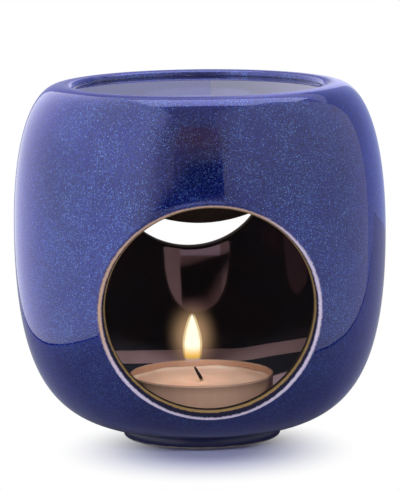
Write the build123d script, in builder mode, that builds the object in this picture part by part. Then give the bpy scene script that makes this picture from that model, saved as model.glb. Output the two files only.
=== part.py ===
from build123d import *
import os

# Essential oil burner for one tealight: a round ceramic body with a water bowl hung in its brim.
# Millimetres, +Z up. The origin is the middle of the foot's resting face.
# The doorway faces -Y and the vent faces +Y.

# Water bowl, a half sphere that hangs under the brim
bowl_radius = 32.5
bowl_wall = 4.0
bowl_seat_depth = 4.6
crown_gap = 0.3

# Clay body: the belly swells out from the brim's crest and draws in to the foot
brim_height = 92.8
brim_land = 3.5
brim_edge_radius = 2.0
belly_swell = 12.5
belly_height = 54.4
underside_height = 2.8
wall = 4.6
floor_thickness = 1.9
floor_margin = 0.8

# How far each outline curve's two handles reach and its end lifts, as shares of its run and rise
outer_shoulder_shares = (0.729, 0.476, 0)
outer_base_shares = (0.729, 0.667, 0.048)
inner_shoulder_shares = (0.652, 0.42, 0)
inner_base_shares = (0.849, 0.307, 0)

# Doorway over its sill, and the vent under the brim
door_radius = 26.3
door_sill_rise = 9.0
door_outer_round = 1.4
door_inner_round = 0.7
vent_radius = 20.85
vent_top_drop = 7.95
vent_outer_round = 1.2
vent_inner_round = 0.7
overrun = 5.0

# Foot under the body
foot_radius = 20.6
foot_width = 3.4
foot_recess = 1.2
foot_round = 0.7

# Tealight
cup_radius = 19.0
cup_rise = 11.5
cup_wall = 0.3
cup_corner_round = 1.0
bead_radius = 0.35
wax_clearance = 0.1
wax_level_drop = 2.2
wick_radius = 0.5
wick_bend_radius = 1.6
wick_lean_degrees = 28
wick_tip_length = 3.4
sustainer_radius = 6.2
sustainer_sheet = 0.25
collar_radius = 1.1
collar_rise = 3.0
cast_clearance = 0.05

# Heights and radii that follow from these
crest_radius = bowl_radius + brim_land
belly_radius = crest_radius + belly_swell
cavity_radius = belly_radius - wall
crown_radius = bowl_radius + bowl_wall + crown_gap
bowl_seat_height = brim_height - bowl_seat_depth
floor_height = underside_height + floor_thickness
floor_radius = cup_radius + floor_margin
door_height = floor_height + door_sill_rise + door_radius
vent_height = brim_height - vent_top_drop - vent_radius
bead_height = floor_height + cup_rise - bead_radius
cup_floor_height = floor_height + cup_wall
cup_wall_radius = cup_radius - bead_radius + cup_wall / 2
cup_inner_radius = cup_wall_radius - cup_wall
cup_inner_round = cup_corner_round - cup_wall
wax_radius = cup_inner_radius - wax_clearance
wax_height = floor_height + cup_rise - wax_level_drop
sustainer_top = cup_floor_height + sustainer_sheet
wick_bore_radius = wick_radius + cast_clearance


def side_curve(belly, end, shares):
    """Control points from the upright side at the belly to the more level end of an outline."""
    upright_share, level_share, lift_share = shares
    run = belly[0] - end[0]
    rise = belly[1] - end[1]
    upright_handle = (belly[0], belly[1] - rise * upright_share)
    level_handle = (end[0] + run * level_share, end[1] + rise * lift_share)
    return belly, upright_handle, level_handle, end


# Body shell: the belly, its floor and its brim, turned in one piece
belly = (belly_radius, belly_height)
crest = (crest_radius, brim_height)
heel = (foot_radius, underside_height)
inner_belly = (cavity_radius, belly_height)
crown = (crown_radius, bowl_seat_height)
floor_edge = (floor_radius, floor_height)

with BuildPart() as body_shell:
    with BuildSketch(Plane.XZ):
        with BuildLine():
            Bezier(*side_curve(belly, crest, outer_shoulder_shares))
            Bezier(*side_curve(belly, heel, outer_base_shares))
            Polyline(heel, (0, underside_height), (0, brim_height), crest)
        make_face()
    revolve(axis=Axis.Z)

    with BuildSketch(Plane.XZ):
        with BuildLine():
            Bezier(*side_curve(inner_belly, crown, inner_shoulder_shares))
            Bezier(*side_curve(inner_belly, floor_edge, inner_base_shares))
            Polyline(floor_edge, (0, floor_height), (0, bowl_seat_height), crown)
        make_face()
    revolve(axis=Axis.Z, mode=Mode.SUBTRACT)

    with Locations((0, 0, brim_height)):
        Sphere(bowl_radius, mode=Mode.SUBTRACT)
    brim_edge = body_shell.edges().filter_by(GeomType.CIRCLE).group_by(Axis.Z)[-1]
    fillet(brim_edge.sort_by(SortBy.RADIUS)[0], radius=brim_edge_radius)

    # The doorway, a level bore through the front wall
    with BuildSketch(Plane.XZ):
        with Locations((0, door_height)):
            Circle(door_radius)
    extrude(amount=belly_radius + overrun, mode=Mode.SUBTRACT)
    door_edges = body_shell.edges(Select.LAST).filter_by(GeomType.LINE, reverse=True).sort_by(Axis.Y)
    fillet(door_edges[0], radius=door_outer_round)
    fillet(door_edges[-1], radius=door_inner_round)

    # The vent, a higher and smaller bore through the back wall
    with BuildSketch(Plane.XZ):
        with Locations((0, vent_height)):
            Circle(vent_radius)
    extrude(amount=-belly_radius - overrun, mode=Mode.SUBTRACT)
    vent_edges = body_shell.edges(Select.LAST).filter_by(GeomType.LINE, reverse=True).sort_by(Axis.Y)
    fillet(vent_edges[-1], radius=vent_outer_round)
    fillet(vent_edges[0], radius=vent_inner_round)


# Water bowl, joined to the flat underside of the brim
with BuildPart() as oil_bowl:
    with Locations((0, 0, brim_height)):
        Sphere(bowl_radius + bowl_wall)
        Sphere(bowl_radius, mode=Mode.SUBTRACT)
    split(bisect_by=Plane.XY.offset(bowl_seat_height), keep=Keep.BOTTOM)


# Foot ring, a shallow disc with a recess below
with BuildPart() as foot_ring:
    with BuildSketch(Plane.XY):
        Circle(foot_radius)
    extrude(amount=underside_height)
    with BuildSketch(Plane.XY):
        Circle(foot_radius - foot_width)
    extrude(amount=foot_recess, mode=Mode.SUBTRACT)
    resting_edges = foot_ring.edges().filter_by(GeomType.CIRCLE).group_by(Axis.Z)[0]
    fillet(resting_edges, radius=foot_round)


# Tealight cup, drawn from foil, with a rolled bead at its rim
with BuildPart() as tealight_cup:
    with BuildSketch(Plane.XZ):
        with BuildLine():
            outer_corner = (cup_wall_radius, floor_height)
            outer_rim = (cup_wall_radius, bead_height)
            outside = FilletPolyline((0, floor_height), outer_corner, outer_rim, radius=cup_corner_round)
            inner_corner = (cup_inner_radius, cup_floor_height)
            inner_rim = (cup_inner_radius, bead_height)
            inside = FilletPolyline((0, cup_floor_height), inner_corner, inner_rim, radius=cup_inner_round)
            Line(outside @ 0, inside @ 0)
            Line(outside @ 1, inside @ 1)
        make_face()
        with Locations((cup_radius - bead_radius, bead_height)):
            Circle(bead_radius)
    revolve(axis=Axis.Z)


# Wick sustainer, a pressed steel disc with a collar that grips the wick
with BuildPart() as wick_sustainer:
    with BuildSketch(Plane.XY.offset(cup_floor_height)):
        Circle(sustainer_radius)
    extrude(amount=sustainer_sheet)
    with BuildSketch(Plane.XY.offset(sustainer_top)):
        Circle(collar_radius)
        Circle(wick_bore_radius, mode=Mode.SUBTRACT)
    extrude(amount=collar_rise)


# Wax, set around the sustainer and the wick
with BuildPart() as tealight_wax:
    with BuildSketch(Plane.XY.offset(cup_floor_height)):
        Circle(wax_radius)
    extrude(amount=wax_height - cup_floor_height)
    fillet(tealight_wax.edges().group_by(Axis.Z)[0], radius=cup_corner_round)
    with BuildSketch(Plane.XY.offset(cup_floor_height)):
        Circle(sustainer_radius + cast_clearance)
    extrude(amount=sustainer_sheet, mode=Mode.SUBTRACT)
    with BuildSketch(Plane.XY.offset(cup_floor_height)):
        Circle(collar_radius + cast_clearance)
    extrude(amount=sustainer_sheet + collar_rise, mode=Mode.SUBTRACT)
    with BuildSketch(Plane.XY.offset(cup_floor_height)):
        Circle(wick_bore_radius)
    extrude(amount=wax_height, mode=Mode.SUBTRACT)


# Wick, upright in the wax and leaning to -X where it has burnt
with BuildPart() as wick:
    with BuildLine(Plane.XZ) as wick_path:
        upright = Line((0, sustainer_top), (0, wax_height))
        bend = JernArc(upright @ 1, upright % 1, radius=wick_bend_radius, arc_size=wick_lean_degrees)
        PolarLine(bend @ 1, wick_tip_length, direction=bend % 1)
    with BuildSketch(Plane.XY.offset(sustainer_top)):
        Circle(wick_radius)
    sweep(path=wick_path.line)


os.makedirs("parts", exist_ok=True)

body_shell.part.label = "body_shell"
export_step(body_shell.part, "parts/body_shell.step")

oil_bowl.part.label = "oil_bowl"
export_step(oil_bowl.part, "parts/oil_bowl.step")

foot_ring.part.label = "foot_ring"
export_step(foot_ring.part, "parts/foot_ring.step")

tealight_cup.part.label = "tealight_cup"
export_step(tealight_cup.part, "parts/tealight_cup.step")

wick_sustainer.part.label = "wick_sustainer"
export_step(wick_sustainer.part, "parts/wick_sustainer.step")

tealight_wax.part.label = "tealight_wax"
export_step(tealight_wax.part, "parts/tealight_wax.step")

wick.part.label = "wick"
export_step(wick.part, "parts/wick.step")
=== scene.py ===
import bpy
import bmesh
from bisect import bisect_left
from math import asin, atan2, cos, degrees, hypot, pi, radians, sin, sqrt, tan
from mathutils import Matrix, Vector, noise


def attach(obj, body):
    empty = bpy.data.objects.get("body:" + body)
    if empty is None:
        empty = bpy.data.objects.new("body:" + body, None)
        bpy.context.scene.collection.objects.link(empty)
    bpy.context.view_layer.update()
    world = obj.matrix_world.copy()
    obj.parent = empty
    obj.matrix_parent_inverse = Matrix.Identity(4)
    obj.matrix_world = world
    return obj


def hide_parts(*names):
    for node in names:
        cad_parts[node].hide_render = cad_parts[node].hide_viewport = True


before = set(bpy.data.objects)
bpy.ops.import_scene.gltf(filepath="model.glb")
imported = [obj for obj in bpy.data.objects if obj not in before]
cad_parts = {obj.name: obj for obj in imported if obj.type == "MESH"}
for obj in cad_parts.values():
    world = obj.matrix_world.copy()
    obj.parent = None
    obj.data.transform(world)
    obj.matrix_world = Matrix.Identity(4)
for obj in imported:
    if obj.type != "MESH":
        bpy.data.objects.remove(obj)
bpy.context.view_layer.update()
scene = bpy.context.scene
mm = 0.001
white = (1, 1, 1, 1)
noiseSpan = (0.3, 0.7)  # the levels that noise mostly keeps to


# Helpers for materials

def addNode(tree, kind, sockets=None, **settings):
    node = tree.nodes.new("ShaderNode" + kind)
    for name, value in settings.items():
        setattr(node, name, value)
    setSockets(tree, node, sockets or {})
    return node


def setSockets(tree, node, sockets):
    for name, value in sockets.items():
        if isinstance(value, bpy.types.NodeSocket):
            tree.links.new(value, node.inputs[name])
        else:
            node.inputs[name].default_value = value


def emptyMaterial(name):
    material = bpy.data.materials.new(name)
    material.use_nodes = True
    material.node_tree.nodes.clear()
    return material, material.node_tree


def endMaterial(tree, shader):
    addNode(tree, "OutputMaterial", {0: shader.outputs[0]})


def newMaterial(name):
    material, tree = emptyMaterial(name)
    surface = addNode(tree, "BsdfPrincipled")
    endMaterial(tree, surface)
    return material, tree, surface


def glowMaterial(name, colour, strength=1.0):
    material, tree = emptyMaterial(name)
    glow = addNode(tree, "Emission", {"Color": colour, "Strength": strength})
    endMaterial(tree, glow)
    return material, tree, glow


def objectPlace(tree):
    return addNode(tree, "TexCoord").outputs["Object"]


def splitPlace(tree, place):
    return addNode(tree, "SeparateXYZ", {0: place}).outputs


def addMath(tree, operation, first, second=0.0, clamp=False):
    return addNode(tree, "Math", {0: first, 1: second}, operation=operation, use_clamp=clamp).outputs[0]


def multiply(tree, first, second):
    return addMath(tree, "MULTIPLY", first, second)


def vectorMath(tree, operation, first, second, output=0):
    return addNode(tree, "VectorMath", {0: first, 1: second}, operation=operation).outputs[output]


def ovalDistance(tree, place, middle, sizes):
    # 0 in the middle and 1 at the oval's edge; an axis without a size is left out
    shares = [1 / size if size else 0 for size in sizes]
    scaled = vectorMath(tree, "MULTIPLY", vectorMath(tree, "SUBTRACT", place, middle), shares)
    return vectorMath(tree, "LENGTH", scaled, (0, 0, 0), "Value")


def fadeBetween(tree, value, start, end, first=0.0, last=1.0):
    sockets = {"Value": value, "From Min": start, "From Max": end, "To Min": first, "To Max": last}
    return addNode(tree, "MapRange", sockets, interpolation_type="SMOOTHSTEP").outputs["Result"]


def bandBetween(tree, value, start, end):
    # rises over the first pair of values and falls again over the second
    return multiply(tree, fadeBetween(tree, value, *start), fadeBetween(tree, value, *end, 1.0, 0.0))


def mixColours(tree, share, first, second):
    return addNode(tree, "Mix", {0: share, 6: first, 7: second}, data_type="RGBA").outputs[2]


def mixValues(tree, share, first, second):
    return addNode(tree, "Mix", {0: share, 2: first, 3: second}, data_type="FLOAT").outputs[0]


def mixShaders(tree, share, first, second):
    return addNode(tree, "MixShader", {0: share, 1: first.outputs[0], 2: second.outputs[0]})


def addNoise(tree, place, scale, detail=2.0, roughness=0.5):
    sockets = {"Vector": place, "Scale": scale, "Detail": detail, "Roughness": roughness}
    return addNode(tree, "TexNoise", sockets).outputs[0]


def addCloud(tree, place, cloud):
    # noise, faded over a span of its own levels into a range of values
    spots = addNoise(tree, place, *cloud["noise"])
    return fadeBetween(tree, spots, *cloud["span"], *cloud.get("range", (0.0, 1.0)))


def unevenHeight(tree, place, height, look):
    # noise makes an edge wander up and down
    wander = multiply(tree, addNoise(tree, place, *look["edgeNoise"]), look["edgeWander"])
    return addMath(tree, "ADD", height, wander)


def addBump(tree, height, strength, distance):
    return addNode(tree, "Bump", {"Height": height, "Strength": strength, "Distance": distance}).outputs[0]


def addWaves(tree, place, scale, detail, strength, distance):
    return addBump(tree, addNoise(tree, place, scale, detail), strength, distance)


def noisyMaterial(name, look, stretch=(1, 1, 1)):
    # noise mixes its two colours, sets its roughness and raises its surface
    material, tree, surface = newMaterial(name)
    place = addNode(tree, "Mapping", {"Vector": objectPlace(tree), "Scale": stretch}).outputs[0]
    spots = addNoise(tree, place, *look["noise"])
    setSockets(tree, surface, {
        "Base Color": mixColours(tree, spots, *look["colours"]), "Metallic": look["metallic"],
        "Roughness": fadeBetween(tree, spots, *noiseSpan, *look["roughness"]),
        "Normal": addBump(tree, spots, *look["bump"]),
    })
    return material


# Helpers for meshes

mergeDistance = 0.002 * mm


def makePiece(bm, name, materials):
    mesh = bpy.data.meshes.new(name)
    bm.to_mesh(mesh)
    bm.free()
    for material in materials:
        mesh.materials.append(material)
    for polygon in mesh.polygons:
        polygon.use_smooth = True
    piece = bpy.data.objects.new(name, mesh)
    scene.collection.objects.link(piece)
    return piece


def addSmoothing(piece, levels):
    modifier = piece.modifiers.new("smoothing", "SUBSURF")
    modifier.levels = levels
    modifier.render_levels = levels


def seatPiece(piece, body, slotName, *nodes):
    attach(piece, body)
    if nodes:
        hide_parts(*nodes)
    print("made", piece.name, "with", len(piece.data.polygons), "faces")


def drawProfile(bm, points):
    verts = [bm.verts.new((radius, 0, height)) for radius, height in points]
    return [bm.edges.new(pair) for pair in zip(verts, verts[1:])]


def turnProfile(bm, edges, steps, older=()):
    # spins an outline round the axis and closes it, leaving older vertices alone
    verts = list({v for edge in edges for v in edge.verts})
    bmesh.ops.spin(bm, geom=verts + edges, cent=(0, 0, 0), axis=(0, 0, 1), angle=2 * pi, steps=steps,
                   use_merge=True)
    bmesh.ops.remove_doubles(bm, verts=[v for v in bm.verts if v not in older], dist=mergeDistance)
    bmesh.ops.recalc_face_normals(bm, faces=bm.faces)


def turnedMesh(points, steps=120):
    bm = bmesh.new()
    turnProfile(bm, drawProfile(bm, points), steps)
    return bm


def arcPoints(centre, radius, start, end, count):
    angles = [radians(start + (end - start) * i / count) for i in range(count + 1)]
    return [(centre[0] + radius * cos(a), centre[1] + radius * sin(a)) for a in angles]


def angleBelow(radius, drop):
    # where a circle lies this far under its own centre
    return -degrees(asin(drop / radius))


def swellRound(point, turns, level):
    # even chance that meets itself again round the axis
    angle = atan2(point.y, point.x)
    return noise.noise(Vector((cos(angle) * turns, sin(angle) * turns, level)))


# Clay body: the outlines of its two walls, as in the CAD source
bodyValues = {
    "brimHeight": 92.8 * mm, "crestRadius": 36.0 * mm, "brimEdgeRound": 2.0 * mm,
    "bellyRadius": 48.5 * mm, "cavityRadius": 43.9 * mm, "bellyHeight": 54.4 * mm,
    "undersideHeight": 2.8 * mm, "footRadius": 20.6 * mm,
    "crownRadius": 36.8 * mm, "seatHeight": 88.2 * mm,
    "floorHeight": 4.7 * mm, "floorRadius": 19.8 * mm,
    "bowlRadius": 32.5 * mm, "bowlWall": 4.0 * mm,
    "outerShoulderShares": (0.729, 0.476, 0.0),
    "outerBaseShares": (0.729, 0.667, 0.048),
    "innerShoulderShares": (0.652, 0.42, 0.0),
    "innerBaseShares": (0.849, 0.307, 0.0),
    # how finely the walls are divided, and between which heights their rows are paired
    "turnSteps": 144, "curveSteps": 400, "outerRows": 52, "heelRows": 6, "brimRows": 5, "bowlEdgeRows": 2,
    "bowlInnerRows": 26, "bowlOuterRows": 28,
    "undersideRadii": (0, 7.0 * mm, 14.0 * mm), "floorRadii": (12.0 * mm, 5.0 * mm, 0),
    "pairedLow": 7.5 * mm, "pairedHigh": 91.5 * mm, "drawnFrom": 70.0 * mm, "underSeat": 0.7 * mm,
    "cornerSlack": 0.01 * mm,
}
doorway = {
    "name": "doorway", "side": -1, "radius": 26.3 * mm, "height": 40.0 * mm,
    "outerRound": 1.4 * mm, "innerRound": 0.7 * mm,
    "windowHalf": radians(47.5), "windowLow": 8.0 * mm, "windowHigh": 73.0 * mm,
}
vent = {
    "name": "vent", "side": 1, "radius": 20.85 * mm, "height": 64.0 * mm,
    "outerRound": 1.2 * mm, "innerRound": 0.7 * mm,
    "windowHalf": radians(35.0), "windowLow": 38.5 * mm, "windowHigh": 91.0 * mm,
}


def outlineCurve(belly, end, shares):
    upright, level, lift = shares
    run, rise = belly[0] - end[0], belly[1] - end[1]
    knots = [Vector(p) for p in (belly, (belly[0], belly[1] - rise * upright),
                                 (end[0] + run * level, end[1] + rise * lift), end)]
    points = []
    for i in range(bodyValues["curveSteps"] + 1):
        t = i / bodyValues["curveSteps"]
        s = 1 - t
        points.append(knots[0] * s**3 + knots[1] * 3 * s * s * t + knots[2] * 3 * s * t * t + knots[3] * t**3)
    return points


def wallOutline(belly, top, bottom, shoulderShares, baseShares):
    # from the bottom up over the belly to the top
    return outlineCurve(belly, bottom, baseShares)[::-1] + outlineCurve(belly, top, shoulderShares)[1:]


def radiusAt(outline, height):
    i = bisect_left(outline, height, key=lambda point: point.y)
    i = min(max(i, 1), len(outline) - 1)
    low, high = outline[i - 1], outline[i]
    share = (height - low.y) / (high.y - low.y)
    return low.x + (high.x - low.x) * share


def evenPoints(path, count):
    reached = [0.0]
    for a, b in zip(path, path[1:]):
        reached.append(reached[-1] + (b - a).length)
    points = []
    for i in range(count):
        wanted = reached[-1] * i / (count - 1)
        k = min(max(bisect_left(reached, wanted), 1), len(path) - 1)
        share = (wanted - reached[k - 1]) / (reached[k] - reached[k - 1])
        points.append(path[k - 1].lerp(path[k], share))
    return points


belly = (bodyValues["bellyRadius"], bodyValues["bellyHeight"])
innerBelly = (bodyValues["cavityRadius"], bodyValues["bellyHeight"])
crest = (bodyValues["crestRadius"], bodyValues["brimHeight"])
heel = (bodyValues["footRadius"], bodyValues["undersideHeight"])
crown = (bodyValues["crownRadius"], bodyValues["seatHeight"])
floorEdge = (bodyValues["floorRadius"], bodyValues["floorHeight"])
outerWall = wallOutline(belly, crest, heel, bodyValues["outerShoulderShares"], bodyValues["outerBaseShares"])
innerWall = wallOutline(innerBelly, crown, floorEdge, bodyValues["innerShoulderShares"],
                        bodyValues["innerBaseShares"])
outerRows = evenPoints(outerWall, bodyValues["outerRows"])
pairedRows = [i for i, p in enumerate(outerRows) if bodyValues["pairedLow"] < p.y < bodyValues["pairedHigh"]]


def innerHeight(height):
    # the inner wall's rows match the outer ones, drawn together under the bowl's seat
    bend = bodyValues["drawnFrom"]
    innerTop = bodyValues["seatHeight"] - bodyValues["underSeat"]
    outerTop = outerRows[pairedRows[-1]].y
    return height if height < bend else bend + (height - bend) * (innerTop - bend) / (outerTop - bend)


# The lip attribute runs from 0 to 1 over an opening's outer rounding, to 2 through the bore and to 3 over
# the inner rounding. On the walls it changes by 1 for each millimetre from there
lipValues = {
    "outside": -4.0, "chamber": 7.0, "innerEdge": 3.0, "paintedShadeFrom": 1.2, "paintedShadeTo": 2.9,
    "windowRings": 5, "ringPull": 1.25, "outerSteps": 6, "innerSteps": 3,
    "windowSlack": 0.001, "slopeReach": 0.5 * mm,
}


def wallPoint(opening, outline, angle, reach):
    x = reach * cos(angle)
    z = opening["height"] + reach * sin(angle)
    return Vector((x, opening["side"] * sqrt(radiusAt(outline, z)**2 - x * x), z))


def lipPoint(opening, outline, angle, share):
    # share 0 lies on the wall and 1 in the bore, with a true arc between
    outer = outline is outerWall
    reach, rounding = opening["radius"], opening["outerRound" if outer else "innerRound"]
    along = Vector((0, -opening["side"] if outer else opening["side"], 0))
    corner = wallPoint(opening, outline, angle, reach)
    outward = (wallPoint(opening, outline, angle, reach + lipValues["slopeReach"]) - corner).normalized()
    halfTurn = outward.angle(along) / 2
    run = rounding / tan(halfTurn)
    start = wallPoint(opening, outline, angle, reach + run * hypot(outward.x, outward.z))
    end = corner + along * run
    weight = sin(halfTurn)
    a, b, c = (1 - share)**2, 2 * share * (1 - share) * weight, share**2
    return (start * a + corner * b + end * c) / (a + b + c)


def angleIn(opening, point):
    return atan2(point.z - opening["height"], point.x)


def reachIn(opening, point):
    return hypot(point.x, point.z - opening["height"])


def nextRing(bm, loopEdges):
    made = bmesh.ops.extrude_edge_only(bm, edges=loopEdges)["geom"]
    verts = [g for g in made if isinstance(g, bmesh.types.BMVert)]
    fresh = set(verts)
    edges = [g for g in made if isinstance(g, bmesh.types.BMEdge) and fresh.issuperset(g.verts)]
    return verts, edges


def openWindow(bm, opening, layers, wallNumber):
    # takes the faces out round the opening and returns the edges of the hole
    rows = [i for i in pairedRows if opening["windowLow"] < outerRows[i].y < opening["windowHigh"]]

    def within(vert):
        azimuth = atan2(vert.co.x, opening["side"] * vert.co.y)
        return (vert[layers["wall"]] == wallNumber and rows[0] <= vert[layers["row"]] <= rows[-1]
                and abs(azimuth) < opening["windowHalf"] + lipValues["windowSlack"])
    faces = [f for f in bm.faces if all(within(v) for v in f.verts)]
    edges = {e for f in faces for e in f.edges}
    bmesh.ops.delete(bm, geom=faces, context="FACES")
    return [e for e in edges if e.is_valid and e.is_boundary]


def drawIn(bm, opening, outline, loopEdges, lipLayer):
    # rings from the window in to the lip, then over its rounding into the bore
    outer = outline is outerWall
    count = lipValues["windowRings"]
    outside, innerEdge, chamber = (lipValues[name] for name in ("outside", "innerEdge", "chamber"))
    for k in range(count):
        verts, loopEdges = nextRing(bm, loopEdges)
        for v in verts:
            angle = angleIn(opening, v.co)
            lipReach = reachIn(opening, lipPoint(opening, outline, angle, 0))
            reach = reachIn(opening, v.co)
            reach += (lipReach - reach) * min(1.0, lipValues["ringPull"] / (count - k))
            v.co = wallPoint(opening, outline, angle, reach)
            away = (reach - lipReach) / mm
            v[lipLayer] = max(-away, outside) if outer else min(innerEdge + away, chamber)
    steps = lipValues["outerSteps"] if outer else lipValues["innerSteps"]
    for k in range(1, steps + 1):
        verts, loopEdges = nextRing(bm, loopEdges)
        for v in verts:
            v.co = lipPoint(opening, outline, angleIn(opening, v.co), k / steps)
            v[lipLayer] = k / steps if outer else innerEdge - k / steps
    return loopEdges


def drawShellProfile(bm, layers):
    # from under the foot up the outside, over the brim and the bowl's seat, and down to the chamber's floor
    chamber = lipValues["chamber"]

    def addVert(radius, height, wall=0, row=-1, lip=lipValues["outside"]):
        v = bm.verts.new((radius, 0, height))
        v[layers["wall"]], v[layers["row"]], v[layers["lip"]] = wall, row, lip
        return v

    verts = [addVert(r, heel[1]) for r in bodyValues["undersideRadii"]]
    verts += [addVert(p.x, p.y, 1, i) for i, p in enumerate(outerRows)]
    edgeRound, bowlRadius = bodyValues["brimEdgeRound"], bodyValues["bowlRadius"]
    edgeCentre = (bowlRadius + edgeRound, crest[1] - edgeRound)
    verts += [addVert(r, z) for r, z in arcPoints(edgeCentre, edgeRound, 90, 180, bodyValues["brimRows"])]
    start, end = (angleBelow(bowlRadius, drop) for drop in (edgeRound, crest[1] - crown[1]))
    bowlEdge = arcPoints((0, crest[1]), bowlRadius, start, end, bodyValues["bowlEdgeRows"])
    verts += [addVert(r, z) for r, z in bowlEdge[1:]]
    verts.append(addVert(*crown, lip=chamber))
    corners = [v.co.copy() for v in verts[-2:]]
    for i in reversed(pairedRows):
        height = innerHeight(outerRows[i].y)
        verts.append(addVert(radiusAt(innerWall, height), height, 2, i, chamber))
    below = [p for p in innerWall if p.y < innerHeight(outerRows[pairedRows[0]].y)]
    verts += [addVert(p.x, p.y, lip=chamber) for p in evenPoints(below[::-1], bodyValues["heelRows"])[1:]]
    verts += [addVert(r, floorEdge[1], lip=chamber) for r in bodyValues["floorRadii"]]
    return [bm.edges.new(pair) for pair in zip(verts, verts[1:])], corners


def keepSharp(bm, corners, creaseLayer):
    def onCircle(point, corner):
        away = (hypot(point.x, point.y) - corner.x, point.z - corner.z)
        return max(abs(d) for d in away) < bodyValues["cornerSlack"]
    for e in bm.edges:
        if any(all(onCircle(v.co, corner) for v in e.verts) for corner in corners):
            e[creaseLayer] = 1.0


def buildShell():
    bm = bmesh.new()
    layers = {name: bm.verts.layers.int.new(name) for name in ("row", "wall")}
    layers["lip"] = bm.verts.layers.float.new("lip")
    creaseLayer = bm.edges.layers.float.new("crease_edge")
    edges, corners = drawShellProfile(bm, layers)
    turnProfile(bm, edges, bodyValues["turnSteps"])
    keepSharp(bm, corners, creaseLayer)
    for opening in (doorway, vent):
        loops = []
        for number, outline in ((1, outerWall), (2, innerWall)):
            loop = openWindow(bm, opening, layers, number)
            loops.append(drawIn(bm, opening, outline, loop, layers["lip"]))
        bmesh.ops.bridge_loops(bm, edges=loops[0] + loops[1])
        print(opening["name"], "has", len(loops[0]), "and", len(loops[1]), "edges round it")
    bmesh.ops.recalc_face_normals(bm, faces=bm.faces)
    for f in bm.faces:  # glaze outside, painted shade in the bores and the chamber's glaze inside
        lip = sum(v[layers["lip"]] for v in f.verts) / len(f.verts)
        f.material_index = 1 if lip > lipValues["paintedShadeTo"] else 2 if lip > lipValues["paintedShadeFrom"] else 0
    return bm


# Glaze of the outside, with blue flecks under a clear coat
glazeValues = {
    "body": (0.011, 0.018, 0.172), "fleck": (0.125, 0.25, 0.64, 1), "edgeTint": (0.10, 0.20, 1.0, 1),
    "metallic": 0.88, "roughness": 0.25, "coatRoughness": 0.03, "coatIor": 1.57,
    "grain": {"noise": (2600, 1.0), "span": noiseSpan, "range": (0.6, 1.4)},
    "cloud": {"noise": (45, 3.0), "span": noiseSpan, "range": (0.85, 1.15)},
    "coatWaves": (260, 2.0, 0.02, 0.4 * mm),
    "fleckCells": ((2400, 0.46), (4000, 0.50)),  # scale, and the fleck's size in its cell
    "fleckCore": 0.45, "fleckFade": 0.12, "fleckStrength": (0.15, 0.95), "fleckBump": (0.2, 0.04 * mm),
    "bareShare": {"noise": (110, 3.0), "span": (0.36, 0.64), "range": (0.66, 0.32)},
    "bareToBrim": (60 * mm, 86 * mm, -0.03, 0.12),
    # bands on the lips, with their fades along the lip attribute: clay where the glaze breaks, with a painted
    # highlight on its pale part, a line of painted shade, and a gold line
    "ragged": {"noise": (1300, 3.0, 0.7), "span": (0.2, 0.8), "range": (-0.05, 0.05)},
    "pale": (0.50, 0.44, 0.56, 1), "tan": (0.46, 0.31, 0.22, 1), "tanLean": 0.8, "tanSpan": 18 * mm,
    "shadeLine": (0.012, 0.010, 0.012, 1), "gold": (0.26, 0.17, 0.06, 1), "lipRoughness": 0.6,
    "clayHighlightMiddle": 0.28, "clayHighlightLift": 0.20, "clayHighlightFade": (0.045, 0.27), "shadeLineFade": (0.105, 0.225),
    "goldStart": (0.58, 0.69), "goldEnd": (1.06, 1.18),
}


def addFlecks(tree, place, bare, scale, size):
    # a dot in each cell but the bare share of them, some brighter than others
    look = glazeValues
    cells = addNode(tree, "TexVoronoi", {"Vector": place, "Scale": scale}, feature="F1")
    chance = addNode(tree, "SeparateColor", {0: cells.outputs["Color"]}).outputs
    dot = fadeBetween(tree, cells.outputs["Distance"], size * look["fleckCore"], size, 1.0, 0.0)
    lit = fadeBetween(tree, addMath(tree, "SUBTRACT", chance[0], bare), 0.0, look["fleckFade"])
    strength = fadeBetween(tree, chance[1], 0.0, 1.0, *look["fleckStrength"])
    return multiply(tree, multiply(tree, dot, lit), strength)


def addLipBands(tree, place, glaze):
    # bare clay with a painted highlight, then a dark line of painted shade and a gold line; returns the
    # colour and where the lip isn't glazed
    look = glazeValues
    x, y, z = splitPlace(tree, place)
    lip = addNode(tree, "Attribute", attribute_name="lip").outputs["Fac"]
    lip = addMath(tree, "ADD", lip, addCloud(tree, place, look["ragged"]))
    up = addMath(tree, "SUBTRACT", z, doorway["height"])
    leaning = addMath(tree, "SUBTRACT", up, multiply(tree, x, look["tanLean"]))
    # painted highlight: the clay band is pale low on the lip, where it stands for light as well as clay, and
    # tan higher up
    clay = mixColours(tree, fadeBetween(tree, leaning, 0.0, look["tanSpan"]), look["pale"], look["tan"])
    lift = multiply(tree, up, look["clayHighlightLift"] / doorway["radius"])
    fromClayAndHighlight = addMath(tree, "SUBTRACT", addMath(tree, "SUBTRACT", lip, lift), look["clayHighlightMiddle"])
    onClayAndHighlight = fadeBetween(tree, addMath(tree, "ABSOLUTE", fromClayAndHighlight), *look["clayHighlightFade"], 1.0, 0.0)
    # painted shade: a near-black line inward of the clay band
    onShadeLine = fadeBetween(tree, fromClayAndHighlight, *look["shadeLineFade"])
    onGold = bandBetween(tree, lip, look["goldStart"], look["goldEnd"])
    colour = mixColours(tree, onClayAndHighlight, glaze, clay)
    colour = mixColours(tree, onShadeLine, colour, look["shadeLine"])
    colour = mixColours(tree, onGold, colour, look["gold"])
    return colour, addMath(tree, "MAXIMUM", onClayAndHighlight, onShadeLine)


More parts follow.
